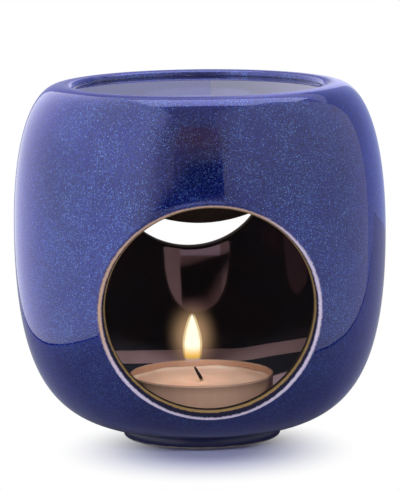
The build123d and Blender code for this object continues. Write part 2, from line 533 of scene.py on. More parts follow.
def buildGlaze():
    material, tree, surface = newMaterial("speckledGlaze")
    look = glazeValues
    place = objectPlace(tree)
    height = splitPlace(tree, place)[2]
    bare = addMath(tree, "ADD", addCloud(tree, place, look["bareShare"]),
                   fadeBetween(tree, height, *look["bareToBrim"]))
    coarse, fine = (addFlecks(tree, place, bare, *cell) for cell in look["fleckCells"])
    flecks = addMath(tree, "MAXIMUM", coarse, fine)
    shade = multiply(tree, addCloud(tree, place, look["grain"]), addCloud(tree, place, look["cloud"]))
    body = addNode(tree, "VectorMath", {0: look["body"], "Scale": shade}, operation="SCALE").outputs[0]
    colour, onLip = addLipBands(tree, place, mixColours(tree, flecks, body, look["fleck"]))
    glazed = addMath(tree, "SUBTRACT", 1.0, onLip)
    setSockets(tree, surface, {
        "Base Color": colour, "Metallic": multiply(tree, glazed, look["metallic"]),
        "Roughness": mixValues(tree, onLip, look["roughness"], look["lipRoughness"]),
        "Specular Tint": look["edgeTint"], "Coat Weight": glazed,
        "Coat Roughness": look["coatRoughness"], "Coat IOR": look["coatIor"],
        "Normal": addBump(tree, flecks, *look["fleckBump"]),
        "Coat Normal": addWaves(tree, place, *look["coatWaves"]),
    })
    return material


# Glaze of the chamber, painted dark as shade, with pink-tinted reflections that stand for the flame's warm
# light, and a pinkish clay-coloured band round the foot of the wall that is painted light
chamberValues = {
    "body": (0.024, 0.027, 0.038, 1), "brown": (0.032, 0.027, 0.034, 1), "tint": (1.0, 0.61, 0.68, 1),
    "clay": (0.31, 0.205, 0.225, 1), "clayDark": (0.24, 0.16, 0.172, 1), "litBandNoise": (260, 3.0),
    "roughness": 0.05, "clayRoughness": 0.6, "ior": 2.05,
    "cloud": {"noise": (120, 3.0), "span": (0.35, 0.7)}, "waves": (90, 2.0, 0.05, 0.5 * mm),
    "ringStart": (18.9 * mm, 19.1 * mm), "ringEnd": (22.4 * mm, 22.6 * mm), "ringDepth": (-26 * mm, -12 * mm),
    "ringTilt": 0.175, "edgeNoise": (70, 2.0), "edgeWander": 0.8 * mm,
    "ringRise": (10 * mm, 36 * mm, 0.0, 3.0 * mm),
}


def buildChamberGlaze():
    material, tree, surface = newMaterial("chamberGlaze")
    look = chamberValues
    place = objectPlace(tree)
    x, y, z = splitPlace(tree, place)
    glaze = mixColours(tree, addCloud(tree, place, look["cloud"]), look["body"], look["brown"])
    tilt = multiply(tree, addMath(tree, "ABSOLUTE", y), look["ringTilt"])
    height = unevenHeight(tree, place, addMath(tree, "ADD", z, tilt), look)
    height = addMath(tree, "SUBTRACT", height, fadeBetween(tree, x, *look["ringRise"]))
    # painted light: this band stands for light falling on the lower wall, drawn in clay colours
    ring = bandBetween(tree, height, look["ringStart"], look["ringEnd"])
    thin = multiply(tree, ring, fadeBetween(tree, y, *look["ringDepth"]))
    clay = mixColours(tree, addNoise(tree, place, *look["litBandNoise"]), look["clay"], look["clayDark"])
    setSockets(tree, surface, {
        "Base Color": mixColours(tree, thin, glaze, clay),
        "Roughness": mixValues(tree, thin, look["roughness"], look["clayRoughness"]),
        "IOR": look["ior"], "Specular Tint": look["tint"],
        "Normal": addWaves(tree, place, *look["waves"]),
    })
    return material


# painted shade: the bores and the bowl's underside are painted near black where they lie in shade
paintedShadeValues = {
    "dark": (0.012, 0.009, 0.009, 1), "brown": (0.035, 0.022, 0.018, 1), "noise": (400, 3.0),
    "roughness": 0.85, "specular": 0.1,
}


def buildPaintedShade():
    material, tree, surface = newMaterial("paintedShade")
    cloud = addNoise(tree, objectPlace(tree), *paintedShadeValues["noise"])
    setSockets(tree, surface, {
        "Base Color": mixColours(tree, cloud, paintedShadeValues["dark"], paintedShadeValues["brown"]),
        "Roughness": paintedShadeValues["roughness"], "Specular IOR Level": paintedShadeValues["specular"],
    })
    return material


glazeMaterial = buildGlaze()
chamberMaterial = buildChamberGlaze()
paintedShadeMaterial = buildPaintedShade()

shell = makePiece(buildShell(), "glazedShell", [glazeMaterial, chamberMaterial, paintedShadeMaterial])
addSmoothing(shell, 1)
seatPiece(shell, "burner", "blue_glaze", "body_shell")


# Water bowl under the brim, glazed inside and painted dark below as shade
def buildBowl():
    centre = (0, bodyValues["brimHeight"])
    drop = bodyValues["brimHeight"] - bodyValues["seatHeight"]
    inner, outer = bodyValues["bowlRadius"], bodyValues["bowlRadius"] + bodyValues["bowlWall"]
    points = arcPoints(centre, inner, -90, angleBelow(inner, drop), bodyValues["bowlInnerRows"])
    points += arcPoints(centre, outer, angleBelow(outer, drop), -90, bodyValues["bowlOuterRows"])
    bm = turnedMesh(points)
    lipLayer = bm.verts.layers.float.new("lip")
    for v in bm.verts:
        outside = (v.co - Vector((0, 0, centre[1]))).length > (inner + outer) / 2
        v[lipLayer] = lipValues["chamber"] if outside else lipValues["outside"]
    for f in bm.faces:
        f.material_index = 1 if sum(v[lipLayer] for v in f.verts) > 0 else 0
    return bm


bowl = makePiece(buildBowl(), "waterBowl", [glazeMaterial, paintedShadeMaterial])
seatPiece(bowl, "burner", "blue_glaze", "oil_bowl")


# Foot: glazed at its side in a blue darker than the body's, which is painted shade under the belly, and bare
# clay where it rests
footValues = {
    "radius": 20.6 * mm, "height": 2.8 * mm, "width": 3.4 * mm, "recess": 1.2 * mm, "round": 0.7 * mm,
    "roundSteps": (5, 6), "edgeDown": 0.25 * mm, "edgeIn": 0.2 * mm,
    "glaze": (0.011, 0.014, 0.095, 1), "clay": (0.50, 0.45, 0.42, 1), "clayDark": (0.34, 0.30, 0.28, 1),
    "edge": (0.57 * mm, 0.73 * mm), "edgeNoise": (350, 3.0), "edgeWander": 0.35 * mm,
    "grain": (2500, 3.0), "bump": (0.2, 0.05 * mm), "roughness": 0.32, "clayRoughness": 0.85,
}


def buildFoot():
    s = footValues
    inner = s["radius"] - s["width"]
    points = [(inner * share, s["recess"]) for share in (0, 0.5, 1)]
    points += arcPoints((inner + s["round"], s["round"]), s["round"], 180, 270, s["roundSteps"][0])
    points += arcPoints((s["radius"] - s["round"], s["round"]), s["round"], 270, 360, s["roundSteps"][1])
    points += [(s["radius"], s["height"] - s["edgeDown"]), (s["radius"] - s["edgeIn"], s["height"])]
    points.append((0, s["height"]))
    return turnedMesh(points)


def buildFootGlaze():
    material, tree, surface = newMaterial("footGlaze")
    look = footValues
    place = objectPlace(tree)
    height = unevenHeight(tree, place, splitPlace(tree, place)[2], look)
    bare = fadeBetween(tree, height, *look["edge"], 1.0, 0.0)
    grain = addNoise(tree, place, *look["grain"])
    clay = mixColours(tree, grain, look["clay"], look["clayDark"])
    setSockets(tree, surface, {
        "Base Color": mixColours(tree, bare, look["glaze"], clay),
        "Roughness": mixValues(tree, bare, look["roughness"], look["clayRoughness"]),
        "Normal": addBump(tree, grain, *look["bump"]),
    })
    return material


foot = makePiece(buildFoot(), "footRing", [buildFootGlaze()])
seatPiece(foot, "burner", "foot_glaze", "foot_ring")


# Water and oil in the bowl, with the rim of the surface drawn up the glaze
waterValues = {
    "level": 91.3 * mm, "climb": 0.2 * mm, "climbWidth": 1.0 * mm, "climbSteps": 8, "sink": 0.15 * mm,
    "underSteps": 24,
    "water": (0.95, 0.94, 0.99, 1), "oil": (0.92, 0.90, 0.97, 1), "ior": 1.36,
    "film": {"noise": (60, 3.0), "span": (0.4, 0.65)}, "bump": (0.02, 0.1 * mm),
}


def buildWater():
    s = waterValues
    wall = bodyValues["bowlRadius"] + s["sink"]
    centre = bodyValues["brimHeight"]
    drop = centre - (s["level"] + s["climb"])
    edge = sqrt(wall**2 - drop**2)
    points = [(edge * share, s["level"]) for share in (0, 0.4, 0.8)]
    for i in range(s["climbSteps"] + 1):
        share = i / s["climbSteps"]
        points.append((edge - s["climbWidth"] * (1 - share), s["level"] + s["climb"] * share**3))
    points += arcPoints((0, centre), wall, angleBelow(wall, drop), -90, s["underSteps"])[1:]
    return turnedMesh(points)


def buildWaterLook():
    material, tree, surface = newMaterial("oiledWater")
    film = addCloud(tree, objectPlace(tree), waterValues["film"])
    setSockets(tree, surface, {
        "Base Color": mixColours(tree, film, waterValues["water"], waterValues["oil"]),
        "Roughness": 0.0, "IOR": waterValues["ior"], "Transmission Weight": 1.0,
        "Normal": addBump(tree, film, *waterValues["bump"]),
    })
    return material


water = makePiece(buildWater(), "bowlWater", [buildWaterLook()])
seatPiece(water, "burner", "blue_glaze")


# Tealight: foil cup with a rolled rim
cupValues = {
    "radius": 19.0 * mm, "floor": 4.7 * mm, "rim": 16.2 * mm, "wall": 0.3 * mm, "corner": 1.0 * mm,
    "bead": 0.35 * mm, "beadArc": (-55, 235, 14), "cornerSteps": 6, "turnSteps": 144,
    "floorRadii": (9 * mm, 16 * mm), "wallShares": (0.3, 0.55, 0.8),
    "dent": 0.05 * mm, "dentTurns": 2.2, "dentClimb": 0.12, "dentLeast": 0.01 * mm,
    # painted light: the foil's warm brown colours stand for the flame's warm glow on the cup
    "colours": ((0.50, 0.31, 0.23, 1), (0.43, 0.27, 0.20, 1)), "metallic": 0.18, "noise": (900, 3.0, 0.6),
    "drawn": (1.0, 1.0, 0.12), "roughness": (0.38, 0.5), "bump": (0.12, 0.04 * mm),
}


def buildCup():
    s = cupValues
    beadCentre = (s["radius"] - s["bead"], s["rim"] - s["bead"])
    wallRadius = beadCentre[0] + s["wall"] / 2
    innerRadius = wallRadius - s["wall"]
    innerRound, innerFloor = s["corner"] - s["wall"], s["floor"] + s["wall"]
    outerCentre = (wallRadius - s["corner"], s["floor"] + s["corner"])
    innerCentre = (innerRadius - innerRound, innerFloor + innerRound)
    heights = [s["floor"] + share * (beadCentre[1] - s["floor"]) for share in s["wallShares"]]
    points = [(r, s["floor"]) for r in (0, *s["floorRadii"])]
    points += arcPoints(outerCentre, s["corner"], -90, 0, s["cornerSteps"])
    points += [(wallRadius, height) for height in heights]
    points += arcPoints(beadCentre, s["bead"], *s["beadArc"])
    points += [(innerRadius, height) for height in reversed(heights)]
    points += arcPoints(innerCentre, innerRound, 0, -90, s["cornerSteps"])
    points += [(r, innerFloor) for r in (*reversed(s["floorRadii"]), 0)]
    bm = turnedMesh(points, s["turnSteps"])
    for v in bm.verts:  # drawn foil is never quite round
        lift = max(0.0, min(1.0, (v.co.z - s["floor"]) / (s["rim"] - s["floor"])))
        dent = s["dent"] * lift * swellRound(v.co, s["dentTurns"], v.co.z / mm * s["dentClimb"])
        away = Vector((v.co.x, v.co.y, 0))
        if away.length > s["radius"] / 2:
            v.co -= away.normalized() * (abs(dent) + s["dentLeast"])
    return bm


foilMaterial = noisyMaterial("drawnFoil", cupValues, cupValues["drawn"])
cup = makePiece(buildCup(), "foilCup", [foilMaterial])
seatPiece(cup, "tealight", "foil", "tealight_cup")


# Wax, drawn up a little at the foil and melted hollow about the wick
waxValues = {
    "radius": 18.4 * mm, "bottom": 5.0 * mm, "level": 14.0 * mm, "corner": 1.0 * mm, "cornerSteps": 6,
    "sideFrom": 3 * mm, "climb": 0.55 * mm, "climbWidth": 1.1 * mm, "climbSteps": 8, "climbPower": 2.5,
    "bottomRadii": (0, 9.0), "topRadii": (15.5, 13.0, 11.0, 9.5, 8.0, 6.5, 5.0, 3.6, 2.4, 1.2, 0),
    "swell": 0.9, "swellTurns": 3.1, "swellLevel": 0.4, "topSlack": 0.01 * mm,
    "melt": 0.35 * mm, "meltRadius": 9.0 * mm, "cling": 0.3 * mm, "clingRadius": 1.6 * mm,
    # painted light: the wax's peach colours stand for the flame's warm light on it
    "clear": (0.80, 0.54, 0.42, 1), "clouded": (0.83, 0.58, 0.46, 1), "roughness": (0.34, 0.46),
    "cloud": {"noise": (160, 3.0), "span": noiseSpan}, "waves": (500, 3.0, 0.08, 0.1 * mm),
    "depth": 0.5, "depthColours": (1.0, 0.6, 0.42), "depthScale": 2.5 * mm,
}


def buildWax():
    s = waxValues
    points = [(r * mm, s["bottom"]) for r in s["bottomRadii"]]
    points += arcPoints((s["radius"] - s["corner"], s["bottom"] + s["corner"]), s["corner"], -90, 0,
                        s["cornerSteps"])
    points.append((s["radius"], s["level"] - s["sideFrom"]))
    for i in range(s["climbSteps"] + 1):
        share = i / s["climbSteps"]
        points.append((s["radius"] - s["climbWidth"] * share,
                       s["level"] + s["climb"] * (1 - share)**s["climbPower"]))
    points += [(r * mm, s["level"]) for r in s["topRadii"]]
    bm = turnedMesh(points)
    for v in bm.verts:
        if v.co.z > s["level"] - s["topSlack"]:
            radius = hypot(v.co.x, v.co.y)
            swell = s["swell"] * swellRound(v.co, s["swellTurns"], s["swellLevel"])
            v.co.z += max(0.0, v.co.z - s["level"]) * swell
            hollow = max(0.0, 1 - (radius / s["meltRadius"])**2)
            v.co.z -= s["melt"] * hollow * hollow * (3 - 2 * hollow)
            v.co.z += s["cling"] * max(0.0, 1 - radius / s["clingRadius"])
    return bm


def buildWaxLook():
    material, tree, surface = newMaterial("paraffinWax")
    look = waxValues
    place = objectPlace(tree)
    cloud = addCloud(tree, place, look["cloud"])
    setSockets(tree, surface, {
        "Base Color": mixColours(tree, cloud, look["clear"], look["clouded"]),
        "Roughness": mixValues(tree, cloud, *look["roughness"]), "Subsurface Weight": look["depth"],
        "Subsurface Radius": look["depthColours"], "Subsurface Scale": look["depthScale"],
        "Normal": addWaves(tree, place, *look["waves"]),
    })
    return material


wax = makePiece(buildWax(), "paraffinFill", [buildWaxLook()])
seatPiece(wax, "tealight", "wax", "tealight_wax")


# Wick: three braided strands, charred above the wax
wickValues = {
    "radius": 0.5 * mm, "bottom": 5.25 * mm, "level": 14.0 * mm, "bend": 1.6 * mm, "lean": radians(28),
    "tip": 3.4 * mm, "strands": 3, "turnLength": 2.4 * mm, "sides": 8, "steps": 46,
    "strandShare": 0.52, "braidShare": 0.46, "burnt": 2.2 * mm, "burntBraidShare": 0.35,
    "burntThinShare": 0.3, "frayShare": 0.22, "frayPace": 1.7, "fraySpread": 5.0,
    "cotton": (0.45, 0.32, 0.20, 1), "char": (0.012, 0.009, 0.008, 1), "ember": (0.10, 0.06, 0.05, 1),
    "charFade": (14.3 * mm, 15.2 * mm), "emberFade": (17.9 * mm, 18.3 * mm),
    "edgeNoise": (1500, 2.0), "edgeWander": 0.8 * mm, "roughness": 0.9, "waves": (4000, 3.0, 0.6, 0.08 * mm),
}


def wickPoint(run):
    # the wick's middle, and how far it leans there
    s = wickValues
    straight, arc = s["level"] - s["bottom"], s["bend"] * s["lean"]
    if run < straight:
        return Vector((0, 0, s["bottom"] + run)), 0.0
    lean = min((run - straight) / s["bend"], s["lean"])
    bent = Vector((-s["bend"] * (1 - cos(lean)), 0, s["level"] + s["bend"] * sin(lean)))
    return bent + Vector((-sin(lean), 0, cos(lean))) * max(0.0, run - straight - arc), lean


def buildWick():
    s = wickValues
    bm = bmesh.new()
    length = s["level"] - s["bottom"] + s["bend"] * s["lean"] + s["tip"]
    strandRadius = s["radius"] * s["strandShare"]
    for strand in range(s["strands"]):
        ring = bmesh.ops.create_circle(bm, cap_ends=True, segments=s["sides"], radius=strandRadius)["verts"]
        faces = [f for f in bm.faces if all(v in ring for v in f.verts)]
        turnBack = Matrix.Identity(3)
        for step in range(s["steps"] + 1):
            run = length * step / s["steps"]
            middle, lean = wickPoint(run)
            turn = Matrix.Rotation(-lean, 3, "Y")
            burnt = max(0.0, run - (length - s["burnt"])) / s["burnt"]
            phase = 2 * pi * (run / s["turnLength"] + strand / s["strands"])
            braid = s["radius"] * s["braidShare"] * (1 - s["burntBraidShare"] * burnt)
            frayPlace = Vector((run / mm * s["frayPace"], strand * s["fraySpread"], 0))
            thickness = 1 + s["frayShare"] * noise.noise(frayPlace) - s["burntThinShare"] * burnt
            if step > 0:
                made = bmesh.ops.extrude_face_region(bm, geom=faces)["geom"]
                if step > 1:
                    bmesh.ops.delete(bm, geom=faces, context="FACES_ONLY")
                ring = [g for g in made if isinstance(g, bmesh.types.BMVert)]
                faces = [g for g in made if isinstance(g, bmesh.types.BMFace)]
            ringMiddle = sum((v.co for v in ring), Vector()) / len(ring)
            target = middle + turn @ Vector((cos(phase), sin(phase), 0)) * braid
            for v in ring:
                spoke = (turnBack @ (v.co - ringMiddle)).normalized()
                v.co = target + turn @ spoke * strandRadius * thickness
            turnBack = turn.inverted()
    bmesh.ops.recalc_face_normals(bm, faces=bm.faces)
    return bm


def buildCotton():
    material, tree, surface = newMaterial("charredCotton")
    look = wickValues
    place = objectPlace(tree)
    height = unevenHeight(tree, place, splitPlace(tree, place)[2], look)
    charred = mixColours(tree, fadeBetween(tree, height, *look["charFade"]), look["cotton"], look["char"])
    setSockets(tree, surface, {
        "Base Color": mixColours(tree, fadeBetween(tree, height, *look["emberFade"]), charred, look["ember"]),
        "Roughness": look["roughness"], "Normal": addWaves(tree, place, *look["waves"]),
    })
    return material


wick = makePiece(buildWick(), "braidedWick", [buildCotton()])
seatPiece(wick, "tealight", "burnt_cotton", "wick")


# The sustainer keeps its CAD shape and gets tinned steel
steelValues = {
    "colours": ((0.72, 0.72, 0.73, 1), (0.55, 0.55, 0.56, 1)), "metallic": 1.0, "noise": (1200, 4.0),
    "roughness": (0.25, 0.42), "bump": (0.1, 0.03 * mm),
}
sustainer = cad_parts["wick_sustainer"]
sustainer.data.materials.clear()
sustainer.data.materials.append(noisyMaterial("tinnedSteel", steelValues))
print("tinned the sustainer")


# Flame: a skin and a core, and two crossed leaves round them that carry the glow
flameValues = {
    "base": 17.6 * mm, "tip": 33.2 * mm, "radius": 2.6 * mm, "lean": -2.3 * mm,
    "widestShare": 0.38, "coreShare": 0.8, "coreTipShare": 0.3, "rootShare": 0.80,
    "rootPower": 5, "pointPower": 1.7,
    "glowMiddle": 26.0 * mm, "glowRadius": 12.0 * mm, "glowHeight": 11.6 * mm,
    "leafShare": 0.004, "leafTurn": radians(45), "rows": 28, "leafRows": 20, "turnSteps": 36,
    "core": (1.0, 0.97, 0.84, 1), "skin": (1.0, 0.80, 0.42, 1),
    "low": (1.0, 0.58, 0.10, 1), "lowFade": (20.6 * mm, 24.0 * mm),
    "root": (0.55, 0.46, 0.70, 1), "rootFade": (19.2 * mm, 20.6 * mm),
    "strength": (0.9, 1.5), "strengthFade": (19.5 * mm, 24.0 * mm, 0.60, 1.0),
    "cover": (0.45, 0.96), "coverFade": (18.8 * mm, 21.6 * mm), "tipFade": (30.4 * mm, 32.3 * mm, 1.0, 0.0),
    "glow": (1.0, 0.60, 0.33, 1), "glowCover": 0.15, "glowPower": 4.0, "leafFade": (-0.6, -0.4),
    "lampEnergy": 0.003, "lampColour": (1.0, 0.68, 0.42), "lampSize": 3.0 * mm, "lampHeight": 25 * mm,
}


def flamePoints(scale):
    # a rounded root, sides that hardly taper up to the widest place, then a long point
    s = flameValues
    widest = s["base"] + (s["tip"] - s["base"]) * s["widestShare"]
    tip = widest + (s["tip"] - widest) * (s["coreTipShare"] + (1 - s["coreTipShare"]) * scale)
    points = []
    for i in range(s["rows"] + 1):
        height = s["base"] + (tip - s["base"]) * i / s["rows"]
        lower = min(1.0, (height - s["base"]) / (widest - s["base"]))
        upper = max(0.0, (height - widest) / (tip - widest))
        width = sqrt(1 - (1 - lower)**s["rootPower"]) * (s["rootShare"] + (1 - s["rootShare"]) * lower)
        width *= max(0.0, 1 - upper**s["pointPower"])
        points.append((s["radius"] * scale * width, height))
    return points


def addTurned(bm, points, depthLayer, depth):
    older = set(bm.verts)
    turnProfile(bm, drawProfile(bm, points), flameValues["turnSteps"], older)
    fresh = [v for v in bm.verts if v not in older]
    for v in fresh:
        v[depthLayer] = depth
    return fresh


def buildFlame():
    # the depth attribute: 0 on the flame's skin, 1 on its core, and -1 on the leaves
    s = flameValues
    bm = bmesh.new()
    depthLayer = bm.verts.layers.float.new("depth")
    addTurned(bm, flamePoints(1.0), depthLayer, 0.0)
    addTurned(bm, flamePoints(s["coreShare"]), depthLayer, 1.0)
    oval = [(max(x, 0.0) * s["glowRadius"], s["glowMiddle"] + z * s["glowHeight"])
            for x, z in arcPoints((0, 0), 1.0, -90, 90, s["leafRows"])]
    for thin in ((1.0, s["leafShare"], 1.0), (s["leafShare"], 1.0, 1.0)):
        leaf = addTurned(bm, oval, depthLayer, -1.0)
        bmesh.ops.scale(bm, vec=thin, verts=leaf)
        bmesh.ops.rotate(bm, verts=leaf, cent=(0, 0, 0), matrix=Matrix.Rotation(s["leafTurn"], 3, "Z"))
    bmesh.ops.translate(bm, verts=bm.verts, vec=(s["lean"], 0, 0))
    return bm


def buildFlameLook():
    material, tree = emptyMaterial("candleFlame")
    look = flameValues
    place = objectPlace(tree)
    height = splitPlace(tree, place)[2]
    depth = addNode(tree, "Attribute", attribute_name="depth").outputs["Fac"]
    inFlame = fadeBetween(tree, depth, *look["leafFade"])
    warm = mixColours(tree, depth, look["skin"], look["core"])
    warm = mixColours(tree, fadeBetween(tree, height, *look["lowFade"]), look["low"], warm)
    warm = mixColours(tree, fadeBetween(tree, height, *look["rootFade"]), look["root"], warm)
    strength = multiply(tree, fadeBetween(tree, height, *look["strengthFade"]),
                        fadeBetween(tree, depth, 0.0, 1.0, *look["strength"]))
    cover = multiply(tree, fadeBetween(tree, height, *look["coverFade"]),
                     fadeBetween(tree, depth, 0.0, 1.0, *look["cover"]))
    cover = multiply(tree, cover, fadeBetween(tree, height, *look["tipFade"]))
    # the glow fades evenly outwards over each leaf
    away = ovalDistance(tree, place, (look["lean"], 0, look["glowMiddle"]),
                        (look["glowRadius"], look["glowRadius"], look["glowHeight"]))
    inner = addMath(tree, "SUBTRACT", 1.0, multiply(tree, away, away), clamp=True)
    glowCover = multiply(tree, addMath(tree, "POWER", inner, look["glowPower"]), look["glowCover"])
    glow = addNode(tree, "Emission", {"Color": mixColours(tree, inFlame, look["glow"], warm),
                                      "Strength": mixValues(tree, inFlame, 1.0, strength)})
    clear = addNode(tree, "BsdfTransparent")
    endMaterial(tree, mixShaders(tree, mixValues(tree, inFlame, glowCover, cover), clear, glow))
    return material


flame = makePiece(buildFlame(), "candleFlame", [buildFlameLook()])
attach(flame, "tealight")
flame.visible_shadow = False
print("made candleFlame with", len(flame.data.polygons), "faces")

flameLamp = bpy.data.lights.new("flameLamp", "POINT")
flameLamp.energy = flameValues["lampEnergy"]
flameLamp.color = flameValues["lampColour"]
flameLamp.shadow_soft_size = flameValues["lampSize"]
flameLight = bpy.data.objects.new("flameLight", flameLamp)
flameLight.location = (flameValues["lean"], 0, flameValues["lampHeight"])
flameLight.visible_glossy = False
scene.collection.objects.link(flameLight)
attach(flameLight, "tealight")


# Studio: headings in degrees from the doorway's, positive to its right, and lengths in metres
studio = {"eyeLevel": 0.06, "ceiling": 2.3, "reach": 3.0, "cardDistance": 2.4}
up = Vector((0, 0, 1))


def heading(azimuth):
    return Vector((sin(radians(azimuth)), -cos(radians(azimuth)), 0))


def sightHeight(distance, elevation):
    # how high something stands when it is seen at this angle from the burner
    return distance * tan(radians(elevation)) + studio["eyeLevel"]


def stageCard(bm, name, material, glossyOnly=True, seenByCamera=False):
    card = makePiece(bm, name, [material])
    card.visible_camera = seenByCamera
    if glossyOnly:
        for link in ("visible_diffuse", "visible_shadow", "visible_transmission"):
            setattr(card, link, False)
    return card


def addCard(name, corners, material, **links):
    bm = bmesh.new()
    bm.faces.new([bm.verts.new(c) for c in corners])
    return stageCard(bm, name, material, **links)


def levelCard(name, xs, ys, height, material, **links):
    corners = [(xs[0], ys[0], height), (xs[1], ys[0], height), (xs[1], ys[1], height), (xs[0], ys[1], height)]
    return addCard(name, corners, material, **links)


def standCard(name, edges, low, high, material):
    # upright card between two headings, from one angle of sight to another
    distance = studio["cardDistance"]
    first, last = (heading(a) * distance for a in edges)
    nearest = distance * cos(radians(edges[1] - edges[0]) / 2)
    bottom, top = (up * sightHeight(nearest, e) for e in (low, high))
    return addCard(name, [first + bottom, last + bottom, last + top, first + top], material)


# Two softboxes from floor to ceiling with a gap between them at the front, and a top light behind
softboxes = {
    "softboxLeft": {"edges": (-169, -18), "radiance": 1.38, "fullAt": 0.66, "edgeAt": 1.5,
                    "edgeShare": 0.42, "gapSide": 1},
    "softboxRight": {"edges": (11, 121), "radiance": 0.83, "fullAt": 0.30, "edgeAt": 0.857,
                     "edgeShare": 0.82, "gapSide": -1},
}
softboxCloth = {
    "distance": 0.6, "low": -0.3, "edgeTone": (1.0, 0.90, 0.86, 1),
    "lowFade": (0.05, 0.35, 0.83, 1.0), "highFade": (1.2, 2.3, 1.0, 0.72),
}
topBox = {"x": (-1.2, 1.35), "y": (0.05, 1.5), "height": 2.0, "radiance": 2.2}
ceilingLook = {"tone": (0.45, 0.42, 0.42, 1), "back": 1.6}


def buildSoftbox(name, box):
    # the cloth is dimmer towards the gap, at the ceiling and near the floor
    first, last = box["edges"]
    middleAngle = (first + last) / 2
    across = Vector((cos(radians(middleAngle)), sin(radians(middleAngle)), 0)) * box["gapSide"]
    side = across * softboxCloth["distance"] * tan(radians(last - first) / 2)
    middle = heading(middleAngle) * softboxCloth["distance"]
    material, tree, glow = glowMaterial(name + "Cloth", white)
    place = objectPlace(tree)
    along = vectorMath(tree, "DOT_PRODUCT", place, across, "Value")
    height = splitPlace(tree, place)[2]
    dimmer = fadeBetween(tree, along, box["fullAt"], box["edgeAt"], box["radiance"],
                         box["radiance"] * box["edgeShare"])
    dimmer = multiply(tree, dimmer, fadeBetween(tree, height, *softboxCloth["lowFade"]))
    dimmer = multiply(tree, dimmer, fadeBetween(tree, height, *softboxCloth["highFade"]))
    warmer = fadeBetween(tree, along, box["fullAt"], box["edgeAt"])
    setSockets(tree, glow, {"Strength": dimmer,
                            "Color": mixColours(tree, warmer, white, softboxCloth["edgeTone"])})
    low, high = up * softboxCloth["low"], up * studio["ceiling"]
    corners = [middle - side + low, middle + side + low, middle + side + high, middle - side + high]
    return addCard(name, corners, material, glossyOnly=False)


for name, box in softboxes.items():
    buildSoftbox(name, box)
levelCard("softboxTop", topBox["x"], topBox["y"], topBox["height"],
          glowMaterial("topCloth", white, topBox["radiance"])[0], glossyOnly=False)
reach = studio["reach"]
levelCard("ceilingCard", (-reach, reach), (-reach, ceilingLook["back"]), studio["ceiling"],
          glowMaterial("ceilingPaint", ceilingLook["tone"])[0])


# Cards that only reflections show: a warm one in the gap, a black one before it, and grey ones at the back
gapCard = {
    "edges": (-36, 15), "sight": (3, 60), "tone": (0.54, 0.31, 0.20, 1), "lowTone": (0.36, 0.29, 0.27, 1),
    "turnSight": (20, 28),
}
blackCard = {
    "distance": 1.0,
    "inner": ((-5, 15), (10.5, 15.5), (11, 6.5), (-24, 1.5), (-14, 7)),  # headings and angles of sight
    "outer": ((-14, 21.5), (12, 22), (12, 4), (-36, -1.0), (-25, 10)),
}
greyCards = (
    {"edges": (118, 166), "sight": (-16, 36), "tone": (0.42, 0.47, 0.72, 1)},
    {"edges": (176.2, 192), "sight": (-16, 36), "tone": (0.40, 0.41, 0.66, 1)},
    {"edges": (166, 176.2), "sight": (-16, 0), "tone": (0.36, 0.38, 0.62, 1)},
)
washCard = {
    "edges": (166, 176.2), "sight": (0, 36), "tone": (0.94, 0.94, 1.26, 1), "share": 0.50, "fullAt": 0.36,
}


def buildGapCloth():
    # dimmer and less warm low down
    material, tree, glow = glowMaterial("flagCloth", gapCard["tone"])
    low, high = (sightHeight(studio["cardDistance"], e) for e in gapCard["turnSight"])
    height = splitPlace(tree, objectPlace(tree))[2]
    turned = fadeBetween(tree, height, low, high)
    setSockets(tree, glow, {"Color": mixColours(tree, turned, gapCard["lowTone"], gapCard["tone"])})
    return material


def buildWashCloth():
    # brighter towards the right of the burner
    material, tree, glow = glowMaterial("backWash", washCard["tone"])
    start = heading(washCard["edges"][1]).x * studio["cardDistance"]
    x = splitPlace(tree, objectPlace(tree))[0]
    brightness = fadeBetween(tree, x, start, washCard["fullAt"], washCard["share"], 1.0)
    setSockets(tree, glow, {"Strength": brightness})
    return material


def addBlackCard(name, card):
    # thins out to nothing between its two outlines
    bm = bmesh.new()
    coverLayer = bm.verts.layers.float.new("cover")
    distance = card["distance"]
    rings = []
    for outline, cover in ((card["inner"], 1.0), (card["outer"], 0.0)):
        ring = [bm.verts.new(heading(a) * distance + up * sightHeight(distance, e)) for a, e in outline]
        for v in ring:
            v[coverLayer] = cover
        rings.append(ring)
    inner, outer = rings
    bm.faces.new(inner)
    for i in range(len(inner)):
        j = (i + 1) % len(inner)
        bm.faces.new((inner[i], outer[i], outer[j], inner[j]))
    material, tree = emptyMaterial(name + "Cloth")
    cover = addNode(tree, "Attribute", attribute_name="cover").outputs["Fac"]
    black = addNode(tree, "Emission", {"Color": (0, 0, 0, 1), "Strength": 0.0})
    clear = addNode(tree, "BsdfTransparent")
    endMaterial(tree, mixShaders(tree, fadeBetween(tree, cover, 0.0, 1.0), clear, black))
    stageCard(bm, name, material)


standCard("gapFlag", gapCard["edges"], *gapCard["sight"], buildGapCloth())
addBlackCard("softBlack", blackCard)
for number, card in enumerate(greyCards, 1):
    standCard(f"greyCard{number}", card["edges"], *card["sight"],
              glowMaterial(f"greyCloth{number}", card["tone"])[0])
standCard("backWash", washCard["edges"], *washCard["sight"], buildWashCloth())


# Floor: it shows its shade round the foot, and further out is as white as the room
floorLook = {
    # painted light: the camera-seen tone is bluish, which stands for the blue light the glaze throws into the
    # shade
    "height": -0.05 * mm, "tone": (0.80, 0.80, 0.82, 1), "seenTone": (0.46, 0.48, 0.74, 1),
    "shadeMiddle": (0, -20 * mm, 0), "shadeSpan": (40 * mm, 42 * mm, 0), "shadeFade": (0.20, 1.0),
}
# Plate on it that only the glaze reflects, with dark seams down its sides
plateLook = {
    "tone": (0.34, 0.35, 0.40, 1), "roughness": 0.7, "specular": 0.1, "height": 0.02 * mm,
    "left": -0.10, "front": -0.30, "back": 0.35,
    "rightSide": ((0.06, -0.062), (0.285, 0.175), (0.45, 0.35)),
    "seamHeight": 0.3 * mm, "seamHalf": 1.3 * mm,
}


